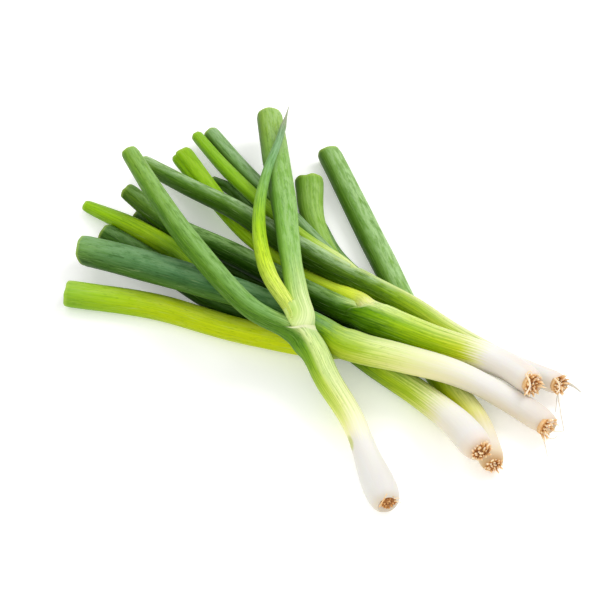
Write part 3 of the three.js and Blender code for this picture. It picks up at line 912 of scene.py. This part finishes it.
frontOnion = {
    "name": "front", "seed": 21,
    "stem": {
        "route": [[39.4, -126.5, 7], [32.3, -105, 7.3], [24.8, -82, 9.5], [13.7, -62.7, 14.5],
                  [1.9, -43, 23]], "bulb": 7.6, "neck": 5.6, "collar": 7, "bulbLength": 36, "tip": 0.3,
        "skinEnd": 35,
    },
    "tones": [(0, "#D8CFC0"), (3, "#E0DDD8"), (8, "#E3E3E0"), (22, "#E5E4E1"), (34, "white"),
              (41, "#F1EEC0"), (50, "#E8EC98"), (58, "#DCE878"), (68, "#C2DA50"), (80, "#A2CA34"),
              (95, "#7CB030")],
    "look": {"greenFrom": 52, "greenTo": 105, "stripes": 0.45, "fold": 0.25},
    "leaves": [
        {"name": "left", "slot": "leaf_mid", "seed": 1, "flat": 0.06,
         "route": [[-24.5, -33, 35], [-52, 3, 37.5], [-70, 37.5, 33], [-87.7, 76, 27.5]],
         "radii": [5, 5, 5.4, 5.1, 4.4],
         "mouth": {"at": 25, "tilt": 25, "side": 40, "band": 3, "lip": 0.08},
         "marks": [{"at": 35.5, "long": 4.5, "angle": 163, "wide": 0.36, "strength": 0.8}],
         "tones": [(112, "#7AA846"), (150, "#74A434"), (195, "#6EA028"), (222, "#7CAE36"),
                   (240, "#90BE3E")],
         "openTones": [(33, "white"), (42, "#F2F0CA"), (58, "#ECF09C"), (75, "#DFEE98"), (92, "#DFF098"),
                       (102, "#E4EEAC"), (110, "#9CBC68"), (120, "#70A048"), (240, "#86AE42")],
         "look": {"bloomAndSheen": 0.55, "lip": 0.75, "lipColour": "#EFF2C4", "waxAndLitSide": 44,
                  "bloomAndSheenColour": "#A2C884"}},
        {"name": "wide", "slot": "leaf_mid", "seed": 2, "flat": 0.1,
         "route": [[1.5, -35.5, 31], [-1.2, -26, 34.6], [-5, 3, 34], [-8.3, 40, 29.5], [-12, 73, 23],
                   [-16.5, 116, 15]], "radii": [5.4, 4.7, 5.9, 6.6, 6.3],
         "mouth": {"at": 26, "tilt": 10, "side": 165, "wall": 0.06, "depth": 0.08, "blend": 1.2},
         "tones": [(104, "#DDEF92"), (114, "#CBE67C"), (124, "#A8CF5C"), (140, "#8ABC49"),
                   (175, "#7FB246"), (215, "#82B242"), (236, "#84AA32"), (252, "#8EB23E")],
         "look": {"greenFrom": 105, "greenTo": 150, "bloomAndSheen": 0.5, "bloomAndSheenColour": "#B4D49A",
                  "under": 1.0, "worn": 0.35}},
        {"name": "thin", "slot": "leaf_bright", "seed": 3, "pointed": 18,
         "route": [[-4, -35, 34.5], [-14.5, -16, 37.3], [-19.5, 8, 36], [-20, 33, 34.5], [-16.5, 58, 33],
                   [-10.5, 83, 31], [-5.5, 110, 29.5]], "radii": [3.4, 4.1, 3.2, 2.1, 1.4],
         "tones": [(105, "#E6F07E"), (122, "#E2EF6E"), (140, "#CCE634"), (165, "#AAD422"),
                   (190, "#8ABC44"), (212, "#70A456"), (234, "#7AA070"), (246, "#A39B86")],
         "look": {"bloomAndSheen": 0.5, "under": 0.25, "fold": 0.2, "waxFrom": 170, "waxTo": 215,
                  "bloomAndSheenColour": "#A4C8A2"}},
    ],
    "roots": {"plate": 0.48, "length": (0.3, 1.1), "thick": (0.5, 0.75), "shift": (0.6, 1, 1),
              "tone": (0.03, 0.42)},
    "hairs": [
        {"route": [[35.3, -132.8, 14.5], [36.6, -131.3, 15.8], [37.7, -129.5, 16.8],
                   [38.9, -127.7, 17.4]], "thick": 0.7, "tone": (0.6, 0.9)},
        {"route": [[42.4, -126.6, 10], [44.2, -125.9, 8.5], [46.6, -125.3, 6]], "thick": 0.4},
        {"route": [[42.3, -126.2, 11], [44.2, -125, 10], [46.1, -124.7, 8]], "thick": 0.4},
    ],
}

longOnion = {
    "name": "long", "seed": 22,
    "stem": {
        "route": [[117.5, -84.9, 9], [99.5, -69.9, 9.5], [74.5, -63.5, 21.4], [49, -55.6, 23.2],
                  [23.5, -45.4, 20.9]], "bulb": 6.4, "neck": 5.9, "collar": 7.6, "bulbLength": 40,
        "tip": 0.12, "shoulder": 2.0, "foot": 0.5,
    },
    "tones": [(0, "collar"), (4, "#E2D8CC"), (13, "#E4DFD7"), (22, "white"), (44, "white"),
              (58, "#E9E6CC"), (68, "#E6E6B2"), (80, "#E2E898"), (94, "#DAEA78"), (104, "#C0DA3C")],
    "look": {"greenFrom": 82, "greenTo": 135, "stripes": 0.35},
    "leaves": [
        {"name": "blue", "slot": "leaf_blue", "seed": 5, "flat": 0.06, "ragged": 0.3, "slant": (2.3, 28),
         "route": [[10.5, -33.2, 18.7], [-18, -21, 24.2], [-49.5, -8, 24], [-82, 8.5, 18.5],
                   [-108.8, 23.2, 11.4]], "radii": [5.4, 6, 7.2, 7.8, 7.6],
         "mouth": {"at": 19, "tilt": 8},
         "tones": [(116, "#B2D21C"), (126, "#86B234"), (138, "#56863C"), (155, "#4C7C46"),
                   (200, "#4E7E50"), (235, "#608E54"), (255, "#76A254")],
         "openTones": [(44, "white"), (58, "#ECE8C8"), (72, "#E9E8B0"), (84, "#E4EA98"), (96, "#DCE870"),
                       (110, "#CCE030"), (122, "#B8D228"), (138, "#628F3E"), (240, "#628F52")],
         "look": {"bloomAndSheen": 0.7, "bloomAndSheenColour": "#86AC79"}},
        {"name": "low", "slot": "leaf_bright", "seed": 4, "flat": 0.04, "pale": -60,
         "route": [[9, -38.8, 11.5], [-32, -24.6, 7], [-72.5, -9, 6], [-115.7, -1, 6.3]],
         "radii": [5.6, 6, 6.5, 6.8],
         "tones": [(118, "#DEE81C"), (135, "#DAEA08"), (165, "#CFE004"), (200, "#C4DA08"),
                   (230, "#A6CC18"), (262, "#86B834")],
         "look": {"bloomAndSheen": 0.25, "worn": 0.15, "stripes": 0.2, "bloomAndSheenColour": "#DCEC80", "under": 0.3}},
    ],
    "roots": {"sweep": (0, -0.1, 0.1), "length": (1.6, 3.9), "shift": (-3.4, -1, 1.4), "plate": 0.64},
    "hairs": [
        {"route": [[113.8, -84.7, 2.5], [114.3, -87.1, 1], [114.9, -90.6, 0.35], [115.3, -95.7, 0.35]],
         "thick": 0.42, "grey": 0.8},
        {"route": [[115.3, -84.5, 3], [116.6, -85.3, 1.2], [118, -85.4, 0.4], [119.5, -85, 0.35],
                   [121, -83.7, 0.35]], "thick": 0.42, "grey": 0.8},
        {"route": [[114, -84.9, 6], [114.7, -86.1, 4.5], [115.5, -87.6, 3]], "thick": 0.9},
    ],
}

middleOnion = {
    "name": "middle", "seed": 23,
    "stem": {
        "route": [[111, -66.6, 17], [93, -53, 17.8], [62.2, -44.9, 24], [34.2, -30.4, 23.1]], "bulb": 6.6,
        "neck": 7.3, "collar": 8.7, "bulbLength": 36, "tip": 0.45,
    },
    "tones": [(0, "collar"), (3, "rosy"), (8, "white"), (28, "white"), (34, "#EAE9BC"), (42, "#D0DA30"),
              (55, "#BAD40A"), (70, "#A4CC08"), (84, "#84B404"), (94, "#6C9C04")],
    "look": {"greenFrom": 36, "greenTo": 90, "stripes": 0.6, "under": 0.95},
    "leaves": [
        {"name": "dark", "slot": "leaf_dark", "seed": 6, "flat": 0.05,
         "route": [[21.5, -20.8, 17.4], [-7, -0.9, 15.2], [-34.7, 18.4, 14.6], [-65, 37, 14.6],
                   [-89, 60.6, 15]], "radii": [6, 5.8, 6, 5.6, 4.5], "taper": 12,
         "mouth": {"at": 22, "tilt": 23, "side": 33, "wall": 0.06, "depth": 0.3, "blend": 0.5, "hug": 5},
         "tones": [(104, "#5A8608"), (118, "#3E6804"), (150, "#3A6408"), (200, "#42700A"),
                   (228, "#688F22"), (245, "#6F9628")],
         "openTones": [(28, "white"), (34, "#EAE9BC"), (42, "#DCE060"), (55, "#D0E240"), (66, "#CCE24C"),
                       (76, "#DCEE88"), (92, "#E6F2AC"), (104, "#D6EA98"), (112, "#7CA040"),
                       (122, "#4A7410"), (200, "#42700A"), (245, "#6F9628")],
         "look": {"bloomAndSheen": 0.95, "bloomAndSheenColour": "#8EB26C", "waxAndLitSide": 48, "waxFrom": 92, "waxTo": 108,
                  "split": 0.5, "lip": 0.2, "lipColour": "#EDEEAE"}},
        {"name": "creased", "slot": "leaf_bright", "seed": 7, "flat": 0.1, "pale": -60,
         "route": [[26.2, -13.8, 18.6], [-1.5, 6.5, 13.8], [-25, 32.5, 10.5], [-44, 61.5, 9.5],
                   [-62.3, 90.1, 11.5]], "radii": [4.5, 3.4, 3.8, 4.7, 5.7],
         "seat": [[46, -33.6, 25.9], [34.2, -27.3, 25.7]],
         "tones": [(72, "#D8EE88"), (80, "#F2F0B2"), (92, "#F2F0A6"), (99, "#EEF27C"), (110, "#E4F040"),
                   (140, "#B2D410"), (200, "#96C604"), (235, "#84B400")],
         "creases": [{"angle": 140, "depth": 0.16, "width": 0.16, "start": 160, "end": 260}],
         "look": {"bloomAndSheen": 0.25, "worn": 0.3, "bloomAndSheenColour": "#C4E060", "under": 0.2, "fold": 0.0,
                  "dashes": 0.2, "stripes": 0.2}},
        # an inner leaf, seated low below its stem with a very dark tone so that it fills the shaded gap
        # between this stem and the long one: painted shade
        {"name": "hidden", "slot": "leaf_dark", "seed": 8, "flat": 0.05,
         "route": [[20.5, -19.2, 9.8], [-9, 1.5, 4.2], [-30, 13, 4.2], [-51, 29.5, 4.2], [-84, 53, 4.2]],
         "radii": [3.6, 4.4, 4.6, 4.6], "seat": [[34.2, -31.5, 17]],
         "tones": [(100, "#3E6604"), (200, "#3C6404")]},
    ],
    "roots": {"sweep": (-0.1, 0, 0.2), "shift": (-2.2, -0.4, 1.6), "plate": 0.76, "length": (1.2, 3.3)},
    "hairs": [
        {"route": [[104.9, -66.7, 26], [105.9, -68.9, 25.8], [106.6, -71.2, 25], [106.4, -73.2, 23.8],
                   [104.7, -75.5, 22.5]], "thick": 1.0, "end": 0.8, "tone": (0.8, 1.0)},
        {"route": [[106.5, -66.4, 24], [106.1, -65.1, 24.6], [107, -64.2, 25], [108, -64.6, 24.6],
                   [107.9, -66, 24]], "thick": 0.6, "end": 0.9},
        {"route": [[111.7, -70.1, 22], [113.1, -70.8, 21.4], [114.8, -71, 20.8]], "thick": 0.8,
         "tone": (0.5, 0.9)},
    ],
}

backOnion = {
    "name": "back", "seed": 24,
    "stem": {
        "route": [[125, -59.9, 8], [101, -45.5, 6], [73.8, -35, 15.3], [53.6, -21.9, 19.8], [30, -5, 19]],
        "bulb": 5.5, "neck": 5.6, "collar": 6.4, "bulbLength": 36, "tip": 0.45,
    },
    "tones": [(0, "collar"), (3, "rosy"), (8, "white"), (28, "white"), (38, "#E8E8C0"), (50, "#DCE38C"),
              (64, "#CCDA50"), (80, "#AECA24"), (95, "#8CB010"), (110, "#6C9008")],
    "look": {"greenFrom": 42, "greenTo": 110, "stripes": 0.5},
    "leaves": [
        {"name": "dark", "slot": "leaf_dark", "seed": 9, "flat": 0.05,
         "route": [[19.4, 0.7, 20.5], [-6.2, 20.3, 20], [-32.7, 43.6, 19], [-58.5, 64.3, 15],
                   [-82.5, 87.5, 8]], "radii": [6.2, 6.6, 5.2, 4.8, 4.4],
         "mouth": {"at": 26, "tilt": 24, "side": 20, "wall": 0.12, "depth": 0.2},
         "tones": [(130, "#557A14"), (150, "#4A7210"), (200, "#5E8A24"), (235, "#62902A"),
                   (250, "#729C34")],
         "openTones": [(28, "white"), (38, "#EAE9CC"), (50, "#E6EAA8"), (70, "#DEE68A"),
                       (100, "#DCE684"), (122, "#DDE6A0"), (140, "#A8C480"), (200, "#6E9440"),
                       (250, "#7A9C44")],
         "look": {"bloomAndSheen": 0.95, "bloomAndSheenColour": "#B2CE9C", "split": 0.6, "waxAndLitSide": 40, "waxFrom": 85,
                  "waxTo": 110}},
        {"name": "narrow", "slot": "leaf_bright", "seed": 10, "flat": 0.05,
         "route": [[20, 10.2, 18.1], [1.5, 27.9, 16.1], [-19.5, 53, 14], [-39, 81, 10.5],
                   [-55.2, 109.3, 6.5]], "radii": [2.8, 3, 3.6, 3.6, 3.2], "seat": [[30, -2.9, 20.8]],
         "tones": [(118, "#EAF2AE"), (138, "#E2F098"), (152, "#B8D84A"), (180, "#98C812"),
                   (230, "#88BC0B")],
         "look": {"bloomAndSheen": 0.25, "worn": 0.2, "bloomAndSheenColour": "#B4D068", "under": 0.6}},
        {"name": "blue", "slot": "leaf_blue", "seed": 11, "flat": 0.05,
         "route": [[19.2, 13.2, 13.4], [-3.4, 43.4, 13.4], [-26.5, 77.5, 8.5], [-48, 113.8, 3.9]],
         "radii": [2.7, 3.4, 4.2, 4.3],
         "tones": [(118, "#6F9A36"), (150, "#80A65A"), (190, "#6C9A44"), (235, "#7CA658")],
         "look": {"bloomAndSheen": 0.7, "bloomAndSheenColour": "#A8C49C", "under": 1.0}},
        # an inner leaf, routed low under its stem with a dark tone so that it fills the shaded gap between
        # the back onion's dark leaf and the middle onion's creased leaf: painted shade
        {"name": "hidden", "slot": "leaf_dark", "seed": 12, "flat": 0.05,
         "route": [[19.5, 5, 8.8], [2, 17, 7.6], [-13, 40, 6], [-34, 70.5, 3.6], [-46, 80.5, 2.5]],
         "radii": [3.4, 3.4, 3.8, 3.6, 2.4],
         "tones": [(118, "#44700C"), (200, "#406A08")]},
    ],
    "roots": {"sweep": (0.1, 0, 0.1), "shift": (-2.2, -0.5, 1.2), "plate": 0.74, "length": (1.1, 3.1)},
    "hairs": [
        {"route": [[122.5, -63.3, 6], [122.9, -65, 3.5], [123.5, -66.8, 1.2], [123.8, -70.9, 0.4],
                   [124.1, -75.6, 0.35], [124.4, -79.7, 0.35], [123.9, -80.8, 0.35],
                   [122.7, -81.2, 0.35], [120.5, -81.2, 0.35], [118.8, -80.8, 0.35]], "thick": 0.42,
         "grey": 0.8},
        {"route": [[122.2, -63.3, 6], [122.2, -64, 3], [122, -65.9, 0.8], [121.4, -69.7, 0.35]],
         "thick": 0.42, "grey": 0.8},
        {"route": [[120, -60.9, 15], [121, -62.3, 15.2], [121.8, -63.9, 15], [122.2, -65.2, 14.4],
                   [121.9, -66.4, 13.4], [120.9, -67.2, 12.2]], "thick": 0.9, "end": 0.8,
         "tone": (0.8, 1.0)},
        {"route": [[126.6, -58, 8], [128.6, -58.3, 7], [131.2, -58.6, 5], [134.1, -60, 3]], "thick": 1.8,
         "end": 0.3, "grey": 0.9},
    ],
}

lowOnion = {
    "name": "low", "seed": 25,
    "stem": {
        "route": [[82.2, -106.2, 20], [71.5, -86, 15], [56.5, -65.3, 8.5], [38, -47.5, 6.2],
                  [17, -28.5, 5.8]], "bulb": 7.6, "neck": 6.8, "collar": 6.1, "bulbLength": 36,
        "tip": 0.0,
    },
    "tones": [(0, "collar"), (3, "rosy"), (8, "white"), (25, "#EAE6DA"), (34, "#E6E4B4"),
              (42, "#DEE680"), (53, "#CCDE40"), (66, "#B8D028"), (80, "#A2C418"), (98, "#7CA812")],
    "look": {"greenFrom": 37, "greenTo": 92, "stripes": 0.6},
    "leaves": [
        {"name": "dark", "slot": "leaf_dark", "seed": 13, "flat": 0.05,
         "route": [[2, -20.5, 4.8], [-36.8, -8.1, 5.6], [-68.7, 16, 6.5], [-99.8, 40.6, 5]],
         "radii": [4.7, 5.7, 6.2, 5.2],
         "mouth": {"at": 6, "tilt": 8},
         "tones": [(115, "#4E7A12"), (140, "#3F6B0F"), (200, "#3C6814"), (250, "#467220")],
         "look": {"bloomAndSheen": 0.35}},
        {"name": "light", "slot": "leaf_bright", "seed": 14, "flat": 0.05,
         "route": [[5.8, -24.8, 11.3], [-20, -13.9, 14.6], [-43.2, -0.6, 14], [-63, 21, 13.1],
                   [-84, 40, 9.5], [-111, 61, 3.5]], "radii": [3.9, 4.3, 4.5, 4.6, 5.1, 4.7, 3.1],
         # the darker olive stop at 200 mm is painted shade
         "tones": [(115, "#B0D010"), (170, "#90BA04"), (200, "#668E02"), (216, "#A0C408"),
                   (240, "#9AC804"), (262, "#98CA0A")],
         "look": {"bloomAndSheen": 0.12, "worn": 0.2, "bloomAndSheenColour": "#C0DC6B", "greenTo": 120, "under": 0.4}},
    ],
    "roots": {"sweep": (-0.5, 0.5, 0.9), "length": (1.6, 4.0), "thick": (0.4, 0.72)},
}

underOnion = {
    "name": "under", "seed": 26,
    "stem": {
        "route": [[89.1, -104.2, 6], [83.2, -82, 5.7], [72.4, -62.2, 6], [62.6, -40.9, 6],
                  [57.5, -19.5, 5.6]], "bulb": 6.2, "neck": 7.4, "collar": 7, "bulbLength": 36,
        "tip": 0.2,
    },
    "tones": [(0, "#C8A478"), (4, "#E2D0B4"), (9, "#E9E0D0"), (16, "#E9E1C4"), (23, "#DED48C"),
              (28, "#D2D040"), (38, "#C8D022"), (52, "#BCD418"), (72, "#9CC414")],
    "look": {"greenFrom": 34, "greenTo": 90, "stripes": 0.4},
    "leaves": [
        {"name": "straight", "slot": "leaf_mid", "seed": 15, "flat": 0.04, "slant": (0.8, 200),
         "route": [[51.1, -6, 5.9], [39.3, 28, 5.9], [27.3, 62.5, 5.9], [15.3, 97.2, 5.7]],
         "radii": [5.9, 6.4, 6.4, 6.1],
         "mouth": {"at": 6, "tilt": 8},
         "tones": [(100, "#84AE4C"), (150, "#709C3D"), (210, "#78A443"), (225, "#8CB459")],
         "look": {"bloomAndSheen": 0.85, "bloomAndSheenColour": "#B0D096", "under": 0.9, "waxAndLitSide": 50, "worn": 0.4}},
        {"name": "flared", "slot": "leaf_bright", "seed": 16, "flat": 0.1, "ragged": 0.5,
         "route": [[46, -8.5, 5.6], [33.5, 4, 5.6], [17.2, 21.8, 6.6], [7, 46, 8], [4.6, 72.6, 10]],
         "radii": [3, 3.2, 3.4, 5.4, 7.1],
         "tones": [(100, "#8CB42D"), (150, "#94BE44"), (180, "#90BA46"), (195, "#7EAA36")],
         "look": {"bloomAndSheen": 0.45, "worn": 0.2, "bloomAndSheenColour": "#B6D489"}},
        {"name": "small", "slot": "leaf_dark", "seed": 17,
         "route": [[47, -4, 3], [38, 6, 2.2], [20.8, 27.4, 2.2], [11, 50.5, 2.1]],
         "radii": [2, 2.2, 2.3, 2.1],
         "tones": [(100, "#4A7411"), (190, "#507C1B")]},
    ],
    "roots": {"sweep": (-0.3, 0.1, 0.7)},
}

rootSkin = rootFinish("rootSkin")
for onion in (frontOnion, longOnion, middleOnion, backOnion, lowOnion, underOnion):
    buildOnion(onion)


studio = {
    "table": {"tone": "#F5F5F3", "grainTone": "#E6E6E4", "grain": 0.02, "size": 6, "glow": 0.25,
              "rough": 0.9, "specular": 0.1},
    "key": {"place": (0.6, 0.4, 0.85), "size": 0.6, "power": 4.4},
    "fill": {"place": (-0.4, -0.75, 0.75), "size": 1.2, "power": 2.4},
    "sky": 0.84,
    "camera": {"down": 50, "distance": 0.9, "lens": 108, "sensor": 36},  # down in degrees
}


def makeTable(look):
    bpy.ops.mesh.primitive_plane_add(size=look["size"], location=(0, 0, 0))
    table = bpy.context.object
    table.name = "tableTop"
    n = Nodes("paleTable")
    grain = n.noise(n.add("TexCoord").outputs["Object"], (1, 1, 1), 40.0)
    colour = n.mix(n.times(grain, look["grain"]), look["tone"], look["grainTone"])
    table.data.materials.append(n.finish(colour, look["rough"], {
        "Specular IOR Level": look["specular"],
        "Emission Color": (1, 1, 1, 1),
        "Emission Strength": look["glow"]}))


def softLight(name, look):
    light = bpy.data.lights.new(name, "AREA")
    light.shape = "DISK"
    light.size = look["size"]
    light.energy = look["power"]
    lamp = bpy.data.objects.new(name, light)
    lamp.location = look["place"]
    lamp.rotation_euler = (-Vector(look["place"])).to_track_quat("-Z", "Y").to_euler()
    bpy.context.scene.collection.objects.link(lamp)


def makeCamera(look):
    # looks down along +Y at the middle that the routes are measured from
    lens = bpy.data.cameras.new("camera")
    lens.lens = look["lens"]
    lens.sensor_width = look["sensor"]
    lens.clip_start = 0.01
    camera = bpy.data.objects.new("camera", lens)
    target = Vector(-bunchCentre * mm)
    down = math.radians(look["down"])
    camera.location = target + Vector((0, -math.cos(down), math.sin(down))) * look["distance"]
    camera.rotation_euler = (target - camera.location).to_track_quat("-Z", "Y").to_euler()
    bpy.context.scene.collection.objects.link(camera)
    bpy.context.scene.camera = camera


makeTable(studio["table"])
softLight("keyLight", studio["key"])
softLight("fillLight", studio["fill"])
sky = bpy.data.worlds.new("studio")
sky.use_nodes = True
sky.node_tree.nodes["Background"].inputs["Color"].default_value = (1, 1, 1, 1)
sky.node_tree.nodes["Background"].inputs["Strength"].default_value = studio["sky"]
bpy.context.scene.world = sky
bpy.context.scene.view_settings.view_transform = "Standard"
makeCamera(studio["camera"])
print("studio: table, two soft lights and camera")
